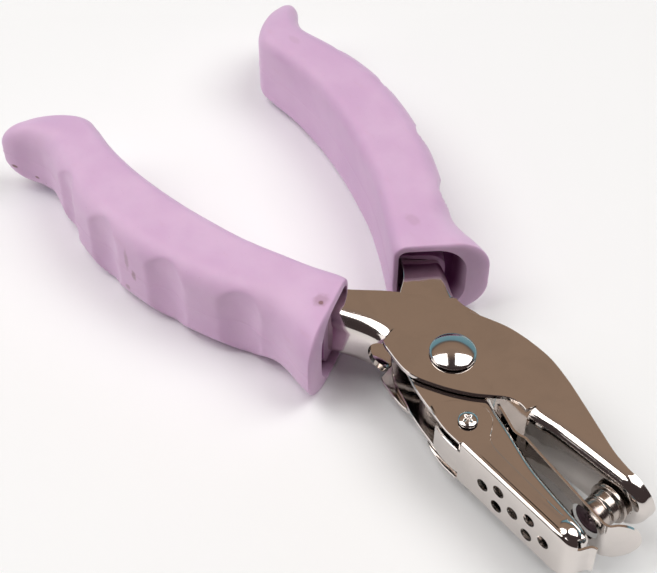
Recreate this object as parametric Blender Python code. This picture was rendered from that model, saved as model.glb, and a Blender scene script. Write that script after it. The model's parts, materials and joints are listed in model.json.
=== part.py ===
"""Single-hole hand punch: two crossed pressed-steel levers with soft grips.

Plan coordinates are millimetres from the pivot: +X towards the nose, +Y towards
the punch jaw, +Z along the pivot. The finished tool is then moved so that its
origin is the middle of its bounding box, at the bottom, where it rests on a table.
"""
import bpy
import bmesh
from math import atan2, cos, hypot, pi, radians, sin, sqrt
from mathutils import Vector

MM = 0.001

# Sheet metal
LEVER_SHEET = 1.0
DIE_SHEET = 0.9
COVER_SHEET = 0.5
PUNCH_HALF_WIDTH = 6.3
DIE_HALF_WIDTH = 5.0
COVER_HALF_WIDTH = 5.8
LEVER_BEND = 2.4
DIE_BEND = 1.5
COVER_BEND = 0.8
BEND_STEPS = 3
LEVER_STATIONS = 64
NOSE_ROUNDING = 5.0
HANDLE_WEB_ARC_RADIUS = 4.4
GAP = 0.3

# Half lengths of the hidden cutters: through both walls, and through one sheet
WALLS_CUT = 9.0
SHEET_CUT = 3.0

# Pivot
PIVOT_SHANK_RADIUS = 2.4
PIVOT_HEAD_RADIUS = 4.6
PIVOT_HEAD_HEIGHT = 1.7
SLEEVE_RADIUS = 3.7
SPRING_RADIUS = 5.0
SPRING_WIRE = 1.1
SPRING_TURNS = 4
SPRING_LEG_LENGTH = 13.0

# Punch and die
PIN_X = 40.3
PIN_TIP_Y = -3.3
PIN_RADIUS = 3.15
DIE_CLEARANCE = 0.2
DIE_HOLE_CENTRE = (39.72, -7.15)
PUNCH_WEB_AT_PIN = 3.25
PIN_TAIL_RADIUS = 1.5
PIN_NECK_RADIUS = 2.7
PIN_COLLAR_RADIUS = 3.25
PIN_FLANGE_RADIUS = 4.1
PIN_FLANGE_HEIGHT = 0.9
DIE_SLOPE = radians(-7.1)
FLANGE_CLEARANCE = 0.75
STRIPPER_HALF_WIDTH = 4.7
STRIPPER_SHEET = 0.5
STRIPPER_HOLE_RADIUS = 3.6
STRIPPER_RIVET_X = 16.6
STRIPPER_RIVET_RADIUS = 1.1
STRIPPER_ROOT_SLOPE = radians(-17.2)
LIP_HALF_WIDTH = 5.0
LIP_LENGTH = 6.6
LIP_ANGLE = radians(50)

# Chip cover
COVER_RIVET = (13.5, -8.5)
COVER_RIVET_RADIUS = 1.2
COVER_RIVET_HEAD_RADIUS = 1.9
COVER_RIVET_HEAD_HEIGHT = 0.7
COVER_LOBE_RADIUS = 4.7
COVER_WEB_Y = -13.1
COVER_NOSE_NARROWING = 0.2
COVER_HOLE_RADIUS = 1.35
COVER_HOLE_PITCH = 3.9
COVER_HOLE_FIRST_X = 23.0
COVER_HOLE_SIDE = 2.35
COVER_TONGUE_HALF_WIDTH = 3.7
COVER_SLOT_END_X = 16.4

# Handles: u runs back from the pivot along the middle line between the handles,
# v runs outwards from that line.
HANDLE_LINE_TILT = radians(2.6)
GRIP_HALF_HEIGHT = 10.5
POCKET_WALL_GAP = 0.35

NICKEL = dict(color=(0.80, 0.77, 0.74), metallic=1.0, roughness=0.12)
STEEL = dict(color=(0.45, 0.44, 0.44), metallic=1.0, roughness=0.28)
SPRING_STEEL = dict(color=(0.32, 0.31, 0.31), metallic=1.0, roughness=0.35)
LILAC = dict(color=(0.63, 0.45, 0.62), metallic=0.0, roughness=0.5)


def make_material(name, color, metallic, roughness):
    material = bpy.data.materials.new(name)
    material.use_nodes = True
    shader = material.node_tree.nodes["Principled BSDF"]
    shader.inputs["Base Color"].default_value = (*color, 1.0)
    shader.inputs["Metallic"].default_value = metallic
    shader.inputs["Roughness"].default_value = roughness
    return material


def finish_object(name, bm, look, parent=None, smooth=True):
    """Turn a millimetre bmesh into an object in metres with its own material."""
    if bm.calc_volume(signed=True) < 0:
        bmesh.ops.reverse_faces(bm, faces=bm.faces)
    bmesh.ops.scale(bm, vec=(MM, MM, MM), verts=bm.verts)
    mesh = bpy.data.meshes.new(name)
    bm.to_mesh(mesh)
    bm.free()
    if smooth:
        mesh.shade_smooth()
        mesh.set_sharp_from_angle(angle=radians(30))
    item = bpy.data.objects.new(name, mesh)
    bpy.context.scene.collection.objects.link(item)
    if look:
        mesh.materials.append(make_material(name + "_finish", **look))
    item.parent = parent
    return item


def boolean(target, tool, operation="DIFFERENCE"):
    """Cut, or join, one object with a hidden helper."""
    tool.hide_render = True
    tool.display_type = "WIRE"
    tool.parent = target.parent
    modifier = target.modifiers.new(tool.name, "BOOLEAN")
    modifier.operation = operation
    modifier.solver = "EXACT"
    modifier.object = tool


def smooth_curve(points, steps):
    """Catmull-Rom curve through the points, both ends kept."""
    padded = [points[0]] + list(points) + [points[-1]]
    curve = []
    for before, start, end, after in zip(padded, padded[1:], padded[2:], padded[3:]):
        for step in range(steps):
            t = step / steps
            weights = (-t + 2 * t**2 - t**3, 2 - 5 * t**2 + 3 * t**3,
                       t + 4 * t**2 - 3 * t**3, -t**2 + t**3)
            curve.append(tuple(0.5 * sum(w * p[axis] for w, p in
                                         zip(weights, (before, start, end, after)))
                               for axis in range(len(start))))
    curve.append(tuple(points[-1]))
    return curve


def handle_point(u, v, side):
    """Plan position of a handle point: side is -1 for the punch lever, +1 for the die lever."""
    x = -u * cos(HANDLE_LINE_TILT) + side * v * sin(HANDLE_LINE_TILT)
    y = u * sin(HANDLE_LINE_TILT) + side * v * cos(HANDLE_LINE_TILT)
    return (x, y)


def loft(bm, rings):
    """Close a row of equal rings into one solid."""
    loops = [[bm.verts.new(point) for point in ring] for ring in rings]
    count = len(loops[0])
    for lower, upper in zip(loops, loops[1:]):
        for index in range(count):
            following = (index + 1) % count
            bm.faces.new((lower[index], lower[following], upper[following], upper[index]))
    bm.faces.new(list(reversed(loops[0])))
    bm.faces.new(loops[-1])


def normals_of(outline):
    """Outward unit normals of a closed counter-clockwise outline."""
    result = []
    count = len(outline)
    for index in range(count):
        ahead = outline[(index + 1) % count]
        behind = outline[index - 1]
        dx, dy = ahead[0] - behind[0], ahead[1] - behind[1]
        length = hypot(dx, dy)
        result.append((dy / length, -dx / length))
    return result


def resample(points, count):
    """The same line with evenly spaced points."""
    reach = [0.0]
    for start, end in zip(points, points[1:]):
        reach.append(reach[-1] + hypot(end[0] - start[0], end[1] - start[1]))
    result = []
    index = 0
    for step in range(count):
        target = reach[-1] * step / (count - 1)
        while index < len(points) - 2 and reach[index + 1] < target:
            index += 1
        share = (target - reach[index]) / (reach[index + 1] - reach[index])
        result.append(tuple(a + (b - a) * share for a, b in zip(points[index], points[index + 1])))
    return result


def section(web, open_edge, inward, half, bend, sheet, web_levels):
    """Outer and inner points across a U-shaped sheet, from the upper wall's free edge to the lower's.

    bend 0 means that the web is cut away and the walls reach the web's edge.
    """
    def at(inset, z):
        return (web[0] + inward[0] * inset, web[1] + inward[1] * inset, z)

    upper = [((*open_edge, half), (*open_edge, half - sheet)), (at(bend, half), at(bend, half - sheet))]
    inner_bend = max(bend - sheet, 0.0)
    for step in range(1, BEND_STEPS + 1):
        a = (1 - step / BEND_STEPS) * pi / 2
        upper.append((at(bend * (1 - cos(a)), half - bend * (1 - sin(a))),
                      at(sheet + inner_bend * (1 - cos(a)), half - sheet - inner_bend * (1 - sin(a)))))
    lower = [((ox, oy, -oz), (ix, iy, -iz)) for (ox, oy, oz), (ix, iy, iz) in reversed(upper)]
    return upper + [(at(0, z), at(sheet, z)) for z in web_levels] + lower


def pressed_sheet(name, sections, present, look, parent):
    """Closed solid of bent sheet from its sections. present(i, k) says which cells hold metal."""
    bm = bmesh.new()
    made = {}

    def vertex(i, k, side):
        if (i, k, side) not in made:
            made[i, k, side] = bm.verts.new(sections[i][k][side])
        return made[i, k, side]

    rows, columns = len(sections) - 1, len(sections[0]) - 1

    def filled(i, k):
        return 0 <= i < rows and 0 <= k < columns and present(i, k)

    for i in range(rows):
        for k in range(columns):
            if not filled(i, k):
                continue
            corners = [(i, k), (i + 1, k), (i + 1, k + 1), (i, k + 1)]
            bm.faces.new([vertex(*corner, 0) for corner in corners])
            bm.faces.new([vertex(*corner, 1) for corner in reversed(corners)])
            neighbours = [(i, k - 1), (i + 1, k), (i, k + 1), (i - 1, k)]
            for index, neighbour in enumerate(neighbours):
                if filled(*neighbour):
                    continue
                start, end = corners[index], corners[(index + 1) % 4]
                bm.faces.new([vertex(*end, 0), vertex(*start, 0), vertex(*start, 1), vertex(*end, 1)])
    return finish_object(name, bm, look, parent)


def inward_normals(line, towards):
    """Unit normals of an open line, on the side where the line called towards lies."""
    result = []
    for index, point in enumerate(line):
        ahead = line[min(index + 1, len(line) - 1)]
        behind = line[max(index - 1, 0)]
        dx, dy = ahead[0] - behind[0], ahead[1] - behind[1]
        length = hypot(dx, dy)
        normal = (-dy / length, dx / length)
        facing = (towards[index][0] - point[0]) * normal[0] + (towards[index][1] - point[1]) * normal[1]
        result.append(normal if facing > 0 else (-normal[0], -normal[1]))
    return result


def channel(name, web_edge, open_edge, web_gap, half_width, sheet, bend, nose_narrowing, parent):
    """U-shaped pressed lever: two walls, and a web along web_edge except across web_gap."""
    web_line = resample(web_edge, LEVER_STATIONS)
    open_line = resample(open_edge, LEVER_STATIONS)
    has_web = [not web_gap[0] < x < web_gap[1] for x, y in web_line]
    nose_x = max(x for x, y in web_line)
    sections = []
    for web, edge, inward, kept in zip(web_line, open_line, inward_normals(web_line, open_line), has_web):
        wall = hypot(edge[0] - web[0], edge[1] - web[1])
        radius = max(sheet + 0.05, min(bend, wall - 0.3)) if kept else 0.0
        into_nose = max(0.0, (web[0] - nose_x) / NOSE_ROUNDING + 1.0)
        half = half_width - nose_narrowing * (1 - sqrt(1 - into_nose**2))
        sections.append(section(web, edge, inward, half, radius, sheet, []))

    columns = len(sections[0]) - 1

    def present(i, k):
        return k in (0, columns - 1) or (has_web[i] and has_web[i + 1])

    return pressed_sheet(name, sections, present, NICKEL, parent)


def turned(name, profile, look, parent=None, segments=28):
    """Solid of revolution about Z from (radius, height) pairs, both ends on the axis."""
    bm = bmesh.new()
    bottom = bm.verts.new((0, 0, profile[0][1]))
    top = bm.verts.new((0, 0, profile[-1][1]))
    rings = []
    for radius, height in profile[1:-1]:
        rings.append([bm.verts.new((radius * cos(2 * pi * i / segments),
                                    radius * sin(2 * pi * i / segments), height))
                      for i in range(segments)])
    for i in range(segments):
        j = (i + 1) % segments
        bm.faces.new((bottom, rings[0][j], rings[0][i]))
        bm.faces.new((top, rings[-1][i], rings[-1][j]))
        for lower, upper in zip(rings, rings[1:]):
            bm.faces.new((lower[i], lower[j], upper[j], upper[i]))
    return finish_object(name, bm, look, parent)


def rod(name, radius, low, high, look=None, parent=None, segments=28):
    return turned(name, [(0, low), (radius, low), (radius, high), (0, high)], look, parent, segments)


def place(item, x, y, z=0.0, turn=None):
    item.location = (x * MM, y * MM, z * MM)
    if turn:
        item.rotation_euler = turn
    return item


def dome(radius, height, base, steps=4, direction=1):
    """Profile points of a domed head that stands on base."""
    points = [(radius, base), (radius, base + direction * 0.3 * height)]
    for step in range(1, steps):
        a = step * pi / 2 / steps
        points.append((radius * cos(a), base + direction * height * (0.3 + 0.7 * sin(a))))
    return points


def headed_rivet(name, shank, head, head_height, under_head, dimple, parent):
    """Rivet along Z with the same domed head on both ends, optionally dimpled."""
    upper = dome(head, head_height, under_head)
    top = under_head + head_height
    if dimple:
        upper = upper[:-1] + [(head * 0.5, top - 0.1), (head * 0.3, top - 0.4)]
        top -= 0.5
    lower = [(r, -z) for r, z in reversed(upper)]
    profile = [(0, -top)] + lower + [(shank, -under_head), (shank, under_head)] + upper + [(0, top)]
    return turned(name, profile, NICKEL, parent)


def handle_edge(stations, side):
    return [handle_point(u, v, side) for u, v in stations]


# Edges of the handle strip inside the grip, from the far end towards the pivot.
HANDLE_OUTER = [(88, 34.2), (72, 34.4), (55, 31.0), (40, 24.6), (32, 19.2)]
HANDLE_INNER = [(88, 27.8), (72, 27.4), (55, 22.8), (40, 16.2), (32, 11.2)]


def punch_lever(parent):
    web_edge = smooth_curve(handle_edge(HANDLE_OUTER, -1) + [
        (-21.8, -12.2), (-16.0, -9.4), (-11.9, -8.3), (-9.2, -9.0), (-2.0, -9.8), (4.2, -7.3),
        (9.2, -4.0), (12.2, -1.2), (13.9, 0.45), (15.5, 1.35), (17.4, 1.6), (19.6, 1.3), (22.6, 1.6),
        (26.2, 2.2), (33.0, 2.75), (PIN_X, PUNCH_WEB_AT_PIN), (44.8, 3.7), (46.6, 4.6)], 6)
    open_edge = smooth_curve(handle_edge(HANDLE_INNER, -1) + [
        (-26.6, -6.0), (-19.2, 1.9), (-11.7, 7.3), (-3.7, 10.9), (2.9, 13.3), (11.3, 14.0),
        (17.9, 12.9), (24.9, 10.8), (31.4, 8.7), (36.0, 7.3), (PIN_X, 6.6), (43.6, 6.7), (46.4, 7.4)], 6)
    lever = channel("punch_lever", web_edge, open_edge, (-11.2, 18.9), PUNCH_HALF_WIDTH,
                    LEVER_SHEET, LEVER_BEND, 3.3, parent)
    boolean(lever, rod("punch_lever_pivot_hole", PIVOT_SHANK_RADIUS + GAP, -WALLS_CUT, WALLS_CUT))
    web_end = rod("punch_lever_web_arc", HANDLE_WEB_ARC_RADIUS, -5, 5)
    boolean(lever, place(web_end, -10.0, -8.8, 0, (radians(90), 0, radians(-18))))
    tail_hole = rod("punch_lever_pin_hole", PIN_TAIL_RADIUS + GAP, -SHEET_CUT, SHEET_CUT)
    boolean(lever, place(tail_hole, PIN_X, PUNCH_WEB_AT_PIN, 0, (radians(90), 0, 0)))
    return lever


DIE_WEB = [(11.7, -0.7), (20.0, -3.3), (29.0, -5.75), (PIN_X, -7.15), (43.8, -7.6)]


def die_lever(parent):
    open_edge = smooth_curve(handle_edge(HANDLE_INNER, 1) + [
        (-22.9, 7.4), (-19.0, 3.0), (-14.0, -3.2), (-8.0, -7.4), (-2.4, -9.4), (1.8, -10.7),
        (6.4, -11.6), (10.5, -12.1), (20.0, -12.2), (30.0, -12.2), (40.0, -12.2), (43.4, -11.6)], 6)
    web_edge = smooth_curve(handle_edge(HANDLE_OUTER, 1) + [
        (-21.5, 16.0), (-16.7, 13.8), (-12.4, 11.6), (-9.2, 10.9), (-3.9, 11.7), (2.0, 10.5),
        (6.5, 7.0), (9.4, 3.0)] + DIE_WEB + [(44.5, -8.4), (44.4, -9.8)], 6)
    lever = channel("die_lever", web_edge, open_edge, (-11.2, 11.5), DIE_HALF_WIDTH,
                    DIE_SHEET, DIE_BEND, 2.0, parent)
    boolean(lever, rod("die_lever_pivot_hole", PIVOT_SHANK_RADIUS + GAP, -WALLS_CUT, WALLS_CUT))
    cover_hole = rod("die_lever_cover_rivet_hole", COVER_RIVET_RADIUS + GAP, -WALLS_CUT, WALLS_CUT)
    boolean(lever, place(cover_hole, *COVER_RIVET))
    die_hole = rod("die_lever_die_hole", PIN_RADIUS + DIE_CLEARANCE, -SHEET_CUT, SHEET_CUT)
    boolean(lever, place(die_hole, *DIE_HOLE_CENTRE, 0, (radians(90), 0, DIE_SLOPE)))
    rivet_hole = rod("die_lever_stripper_rivet_hole", STRIPPER_RIVET_RADIUS + GAP, -SHEET_CUT, SHEET_CUT)
    boolean(lever, place(rivet_hole, STRIPPER_RIVET_X, -2.2, 0, (radians(90), 0, STRIPPER_ROOT_SLOPE)))
    return lever


def ribbon(path, half_widths, sheet):
    """Bent strip of sheet that follows a plan path, with its own half width at each point."""
    rings = []
    for index, (x, y) in enumerate(path):
        ahead = path[min(index + 1, len(path) - 1)]
        behind = path[max(index - 1, 0)]
        heading = atan2(ahead[1] - behind[1], ahead[0] - behind[0])
        nx, ny = -sin(heading) * sheet / 2, cos(heading) * sheet / 2
        w = half_widths[index]
        rings.append([(x + nx, y + ny, -w), (x + nx, y + ny, w),
                      (x - nx, y - ny, w), (x - nx, y - ny, -w)])
    bm = bmesh.new()
    loft(bm, rings)
    return bm


def stripper_plate(parent):
    lift = STRIPPER_SHEET / 2 + GAP + 0.05
    slope = STRIPPER_ROOT_SLOPE
    root = [(x - sin(slope) * lift, -3.3 - (20.0 - x) * -0.3133 + cos(slope) * lift)
            for x in (13.4, 16.6, 19.6)]
    bend = [(21.2, -2.55), (22.6, -2.15), (24.4, -2.35)]
    flat = [(35.0, -3.45), (44.4, -4.4)]
    path = root + bend + flat
    widths = [STRIPPER_HALF_WIDTH] * len(path)
    lip_start = (45.4, -4.1)
    for step in range(7):
        along = LIP_LENGTH * sin(step / 6 * pi / 2)
        path.append((lip_start[0] + along * cos(LIP_ANGLE), lip_start[1] + along * sin(LIP_ANGLE)))
        beyond = max(0.0, along - (LIP_LENGTH - LIP_HALF_WIDTH))
        widths.append(max(0.5, sqrt(max(0.0, LIP_HALF_WIDTH**2 - beyond**2))))
    plate = finish_object("stripper_plate", ribbon(path, widths, STRIPPER_SHEET), NICKEL, parent)
    pin_hole = rod("stripper_pin_hole", STRIPPER_HOLE_RADIUS, -SHEET_CUT, SHEET_CUT)
    boolean(plate, place(pin_hole, PIN_X - 0.1, -4.0, 0, (radians(90), 0, 0)))
    rivet_hole = rod("stripper_rivet_hole", STRIPPER_RIVET_RADIUS + GAP, -SHEET_CUT, SHEET_CUT)
    boolean(plate, place(rivet_hole, STRIPPER_RIVET_X, -1.6, 0, (radians(90), 0, slope)))
    return plate


def stripper_rivet(parent):
    shank = STRIPPER_RIVET_RADIUS
    profile = [(0, -1.95), (1.9, -1.95), (1.9, -1.45), (shank, -1.45), (shank, 1.15),
               (1.8, 1.15), (1.5, 1.55), (0, 1.65)]
    rivet = turned("stripper_rivet", profile, NICKEL, parent, 20)
    return place(rivet, STRIPPER_RIVET_X, -2.2, 0, (radians(-90), 0, STRIPPER_ROOT_SLOPE))


def punch_pin(parent):
    """Cutter, collar and flange below the web, with a riveted tail above it."""
    face = PUNCH_WEB_AT_PIN - PIN_TIP_Y
    flange = face - FLANGE_CLEARANCE
    tail = face + LEVER_SHEET + FLANGE_CLEARANCE
    under_flange = flange - PIN_FLANGE_HEIGHT
    profile = [(0, 0.7), (0.5, 0.6), (2.2, 0.15), (PIN_RADIUS - 0.15, 0.0), (PIN_RADIUS, 0.2),
               (PIN_RADIUS, 2.4), (PIN_NECK_RADIUS, 2.7), (PIN_NECK_RADIUS, 3.1),
               (PIN_COLLAR_RADIUS, 3.4), (PIN_COLLAR_RADIUS, under_flange),
               (PIN_FLANGE_RADIUS, under_flange), (PIN_FLANGE_RADIUS, flange),
               (PIN_TAIL_RADIUS, flange), (PIN_TAIL_RADIUS, tail),
               (2.5, tail), (2.2, tail + 0.6), (0, tail + 0.8)]
    pin = turned("punch_pin", profile, STEEL, parent)
    return place(pin, PIN_X, PIN_TIP_Y, 0, (radians(-90), 0, 0))


def chip_cover(parent):
    """Cover over the die lever's open side, with chip holes, a rear tongue and a nose lip."""
    rx, ry = COVER_RIVET
    lobe = [(rx + COVER_LOBE_RADIUS * cos(radians(a)), ry + COVER_LOBE_RADIUS * sin(radians(a)))
            for a in (100, 66, 32, 12)]
    stations = [((6.6, -11.7), (6.4, -10.2)), ((9.8, -12.6), (9.6, -5.8)),
                ((13.0, COVER_WEB_Y), lobe[0]), ((COVER_SLOT_END_X, COVER_WEB_Y), lobe[1]),
                ((18.2, COVER_WEB_Y), lobe[2]), ((20.0, COVER_WEB_Y), lobe[3]),
                ((23.0, COVER_WEB_Y), (21.6, -8.6)),
                ((30.0, COVER_WEB_Y), (30.0, -9.2)), ((38.0, COVER_WEB_Y), (38.0, -9.3)),
                ((41.4, COVER_WEB_Y), (41.4, -9.4)), ((43.6, -12.8), (43.4, -9.4)),
                ((45.1, -11.6), (44.6, -9.3)), ((45.8, -10.0), (45.2, -8.6)),
                ((46.2, -9.1), (45.6, -8.2)), ((47.0, -8.6), (46.6, -7.9))]
    web_line = [web for web, edge in stations]
    edge_line = [edge for web, edge in stations]
    tongue_start, slot_end, lip_start = 1, 3, 11
    tongue = COVER_TONGUE_HALF_WIDTH
    sections = []
    for index, (web, edge) in enumerate(stations):
        inward = inward_normals(web_line, edge_line)[index]
        bend = COVER_BEND if index >= slot_end else 0.0
        half = COVER_HALF_WIDTH - COVER_NOSE_NARROWING * max(0.0, web[0] - 42.0)
        sections.append(section(web, edge, inward, half, bend, COVER_SHEET, [tongue, -tongue]))
    middle = (len(sections[0]) - 1) // 2

    def present(i, k):
        if k == middle:
            return i >= tongue_start
        if k in (0, 2 * middle):
            return i < lip_start
        return slot_end <= i < lip_start

    cover = pressed_sheet("chip_cover", sections, present, NICKEL, parent)
    for row in range(5):
        sides = (0,) if row % 2 == 0 else (-COVER_HOLE_SIDE, COVER_HOLE_SIDE)
        for z in sides:
            hole = rod("cover_hole_%d_%d" % (row, z), COVER_HOLE_RADIUS, -2, 2, segments=16)
            x = COVER_HOLE_FIRST_X + row * COVER_HOLE_PITCH
            boolean(cover, place(hole, x, COVER_WEB_Y, z, (radians(90), 0, 0)))
    rivet_hole = rod("cover_rivet_hole", COVER_RIVET_RADIUS + GAP, -WALLS_CUT, WALLS_CUT)
    boolean(cover, place(rivet_hole, *COVER_RIVET))
    return cover


def return_spring(parent):
    """Torsion spring round the sleeve, with a leg to each handle's web."""
    height = SPRING_TURNS * (SPRING_WIRE + 0.25)
    start, end = radians(172), radians(188) - radians(360) * SPRING_TURNS
    points = []
    steps = 14 * SPRING_TURNS
    for step in range(steps + 1):
        t = step / steps
        a = start + (end - start) * t
        points.append((SPRING_RADIUS * cos(a), SPRING_RADIUS * sin(a), height * (t - 0.5)))
    first, last = points[0], points[-1]
    upper_leg = (-SPRING_LEG_LENGTH, 8.2, first[2])
    lower_leg = (-SPRING_LEG_LENGTH - 2, -6.0, last[2])
    points = [upper_leg] + points + [lower_leg]
    curve = bpy.data.curves.new("return_spring", "CURVE")
    curve.dimensions = "3D"
    curve.bevel_depth = SPRING_WIRE / 2 * MM
    curve.bevel_resolution = 1
    curve.use_fill_caps = True
    spline = curve.splines.new("POLY")
    spline.points.add(len(points) - 1)
    for target, point in zip(spline.points, points):
        target.co = (*[value * MM for value in point], 1.0)
    spring = bpy.data.objects.new("return_spring", curve)
    bpy.context.scene.collection.objects.link(spring)
    curve.materials.append(make_material("return_spring_finish", **SPRING_STEEL))
    spring.parent = parent
    return spring


def pivot_sleeve(parent):
    height = DIE_HALF_WIDTH - DIE_SHEET - GAP
    sleeve = rod("pivot_sleeve", SLEEVE_RADIUS, -height, height, STEEL, parent)
    boolean(sleeve, rod("pivot_sleeve_bore", PIVOT_SHANK_RADIUS + GAP, -WALLS_CUT, WALLS_CUT))
    return sleeve


# Grip sections from the open mouth to the closed end:
# inner edge (u, v), outer edge (u, v), half height.
GRIP_SECTIONS = [
    ((25.6, 5.8), (14.8, 23.2), 10.2), ((27.6, 6.5), (18.6, 23.5), 10.3),
    ((33.0, 9.4), (27.5, 23.6), 10.1), ((39.0, 12.6), (34.5, 26.8), GRIP_HALF_HEIGHT),
    ((47.0, 16.2), (43.0, 31.0), GRIP_HALF_HEIGHT), ((55.0, 18.8), (52.0, 34.4), GRIP_HALF_HEIGHT),
    ((63.0, 21.0), (61.0, 36.8), GRIP_HALF_HEIGHT), ((72.0, 22.8), (71.0, 38.3), GRIP_HALF_HEIGHT),
    ((80.0, 23.7), (80.5, 38.2), 10.3), ((88.0, 23.8), (89.5, 36.7), 10.0),
    ((95.0, 23.1), (97.5, 35.3), 9.6), ((99.5, 23.2), (102.5, 36.8), 9.2),
    ((104.0, 26.4), (106.5, 39.4), 8.4), ((107.8, 31.0), (109.4, 40.4), 6.8),
    ((110.2, 35.0), (110.6, 39.6), 3.6)]


# The hollow at the mouth, given the same way, from outside the grip inwards.
GRIP_HOLLOW = [((23.6, 6.2), (15.6, 18.4), 9.0), ((30.4, 9.7), (23.8, 20.0), 8.4),
               ((36.0, 14.0), (33.0, 19.6), 7.4)]


def rounded_section(width, half_height, inner_radius, outer_radius, steps=3):
    """Closed section from the inner face (0) to the outer face (width), with round corners."""
    limit = min(width, 2 * half_height) / 2 - 0.1
    inner_radius, outer_radius = min(inner_radius, limit), min(outer_radius, limit)
    corners = [(width - outer_radius, -half_height + outer_radius, outer_radius, -90),
               (width - outer_radius, half_height - outer_radius, outer_radius, 0),
               (inner_radius, half_height - inner_radius, inner_radius, 90),
               (inner_radius, -half_height + inner_radius, inner_radius, 180)]
    points = []
    for across, z, radius, first in corners:
        for step in range(steps + 1):
            a = radians(first + 90 * step / steps)
            points.append((across + radius * cos(a), z + radius * sin(a)))
    return points


def grip(name, side, lever_half_width, parent):
    rings = []
    for inner, outer, half_height in GRIP_SECTIONS:
        start = Vector(handle_point(*inner, side))
        direction = Vector(handle_point(*outer, side)) - start
        width = direction.length
        direction.normalize()
        rings.append([(*(start + direction * across), z)
                      for across, z in rounded_section(width, half_height, 3.0, 5.0)])
    bm = bmesh.new()
    loft(bm, rings)
    body = finish_object(name, bm, LILAC, parent)
    strip = smooth_curve([(92, 34.2)] + HANDLE_OUTER + [(24, 15.0), (14, 9.0)], 2)
    back = smooth_curve([(92, 27.8)] + HANDLE_INNER + [(24, 5.2), (14, 0.0)], 2)
    outline = [handle_point(u, v, side) for u, v in strip + list(reversed(back))]
    if side > 0:
        outline.reverse()
    grown = [(x + nx * POCKET_WALL_GAP, y + ny * POCKET_WALL_GAP)
             for (x, y), (nx, ny) in zip(outline, normals_of(outline))]
    z = lever_half_width + POCKET_WALL_GAP
    pocket = bmesh.new()
    loft(pocket, [[(x, y, height) for x, y in grown] for height in (-z, z)])
    boolean(body, finish_object(name + "_pocket", pocket, None, smooth=False))
    mouth_rings = []
    for inner, outer, half_height in GRIP_HOLLOW:
        start = Vector(handle_point(*inner, side))
        direction = Vector(handle_point(*outer, side)) - start
        mouth_rings.append([(*(start + direction.normalized() * across), height)
                            for across, height in
                            rounded_section(direction.length, half_height, 2.0, 3.0)])
    mouth = bmesh.new()
    loft(mouth, mouth_rings)
    boolean(body, finish_object(name + "_mouth", mouth, None))
    return body


def stand_on_base(root):
    """Move the tool so that its origin is the bottom centre of its bounding box."""
    bpy.context.view_layer.update()
    depsgraph = bpy.context.evaluated_depsgraph_get()
    corners = []
    for item in bpy.context.scene.objects:
        if item.type == "EMPTY" or item.hide_render:
            continue
        evaluated = item.evaluated_get(depsgraph)
        mesh = evaluated.to_mesh()
        corners += [evaluated.matrix_world @ vertex.co for vertex in mesh.vertices]
        evaluated.to_mesh_clear()
    low = [min(corner[axis] for corner in corners) for axis in range(3)]
    high = [max(corner[axis] for corner in corners) for axis in range(3)]
    root.location = (-(low[0] + high[0]) / 2, -(low[1] + high[1]) / 2, -low[2])
    print("pivot at", [round(value, 6) for value in root.location])
    print("size mm", [round((b - a) / MM, 2) for a, b in zip(low, high)])


def new_empty(name, parent=None, at=(0.0, 0.0)):
    empty = bpy.data.objects.new(name, None)
    bpy.context.scene.collection.objects.link(empty)
    empty.location = (at[0] * MM, at[1] * MM, 0.0)
    empty.parent = parent
    return empty


def main():
    for item in list(bpy.data.objects):
        bpy.data.objects.remove(item, do_unlink=True)
    root = new_empty("hand_punch")
    punch_lever(root)
    die_lever(root)
    stripper_plate(root)
    stripper_rivet(root)
    punch_pin(root)
    chip_cover(root)
    headed_rivet("pivot_rivet", PIVOT_SHANK_RADIUS, PIVOT_HEAD_RADIUS, PIVOT_HEAD_HEIGHT,
                 PUNCH_HALF_WIDTH + GAP, False, root)
    cover_rivet = headed_rivet("cover_rivet", COVER_RIVET_RADIUS, COVER_RIVET_HEAD_RADIUS,
                               COVER_RIVET_HEAD_HEIGHT, COVER_HALF_WIDTH + GAP, True, root)
    place(cover_rivet, *COVER_RIVET)
    pivot_sleeve(root)
    return_spring(root)
    grip("punch_grip", -1, PUNCH_HALF_WIDTH, root)
    grip("die_grip", 1, DIE_HALF_WIDTH, root)
    stand_on_base(root)


main()
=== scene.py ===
"""Looks of the hand punch: bright nickel plate, tool steel and lilac rubber.

Shapes are built in millimetres from the pivot, in the same plan as the CAD: +X towards
the nose, +Y towards the punch jaw, +Z along the pivot. They are moved to the row frame
when their meshes are made.
"""
import json
from math import atan2, cos, hypot, pi, radians, sin, sqrt

import bmesh
import bpy
from mathutils import Matrix, Vector


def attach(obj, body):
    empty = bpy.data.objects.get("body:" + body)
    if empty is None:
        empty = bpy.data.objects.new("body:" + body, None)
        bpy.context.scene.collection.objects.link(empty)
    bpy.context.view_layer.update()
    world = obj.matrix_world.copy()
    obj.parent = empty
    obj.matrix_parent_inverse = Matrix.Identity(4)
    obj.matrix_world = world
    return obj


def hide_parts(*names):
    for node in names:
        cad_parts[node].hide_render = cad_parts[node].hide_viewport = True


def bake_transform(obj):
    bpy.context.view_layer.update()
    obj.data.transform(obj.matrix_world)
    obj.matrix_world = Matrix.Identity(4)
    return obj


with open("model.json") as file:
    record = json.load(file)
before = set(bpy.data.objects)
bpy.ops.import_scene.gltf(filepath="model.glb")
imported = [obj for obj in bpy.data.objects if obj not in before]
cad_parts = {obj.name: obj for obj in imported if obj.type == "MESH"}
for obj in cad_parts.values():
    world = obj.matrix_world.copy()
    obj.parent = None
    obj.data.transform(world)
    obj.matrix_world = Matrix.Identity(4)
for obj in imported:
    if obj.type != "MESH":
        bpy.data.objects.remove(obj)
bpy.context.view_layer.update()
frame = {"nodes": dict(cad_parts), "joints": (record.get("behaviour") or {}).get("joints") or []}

MM = 0.001
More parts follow.
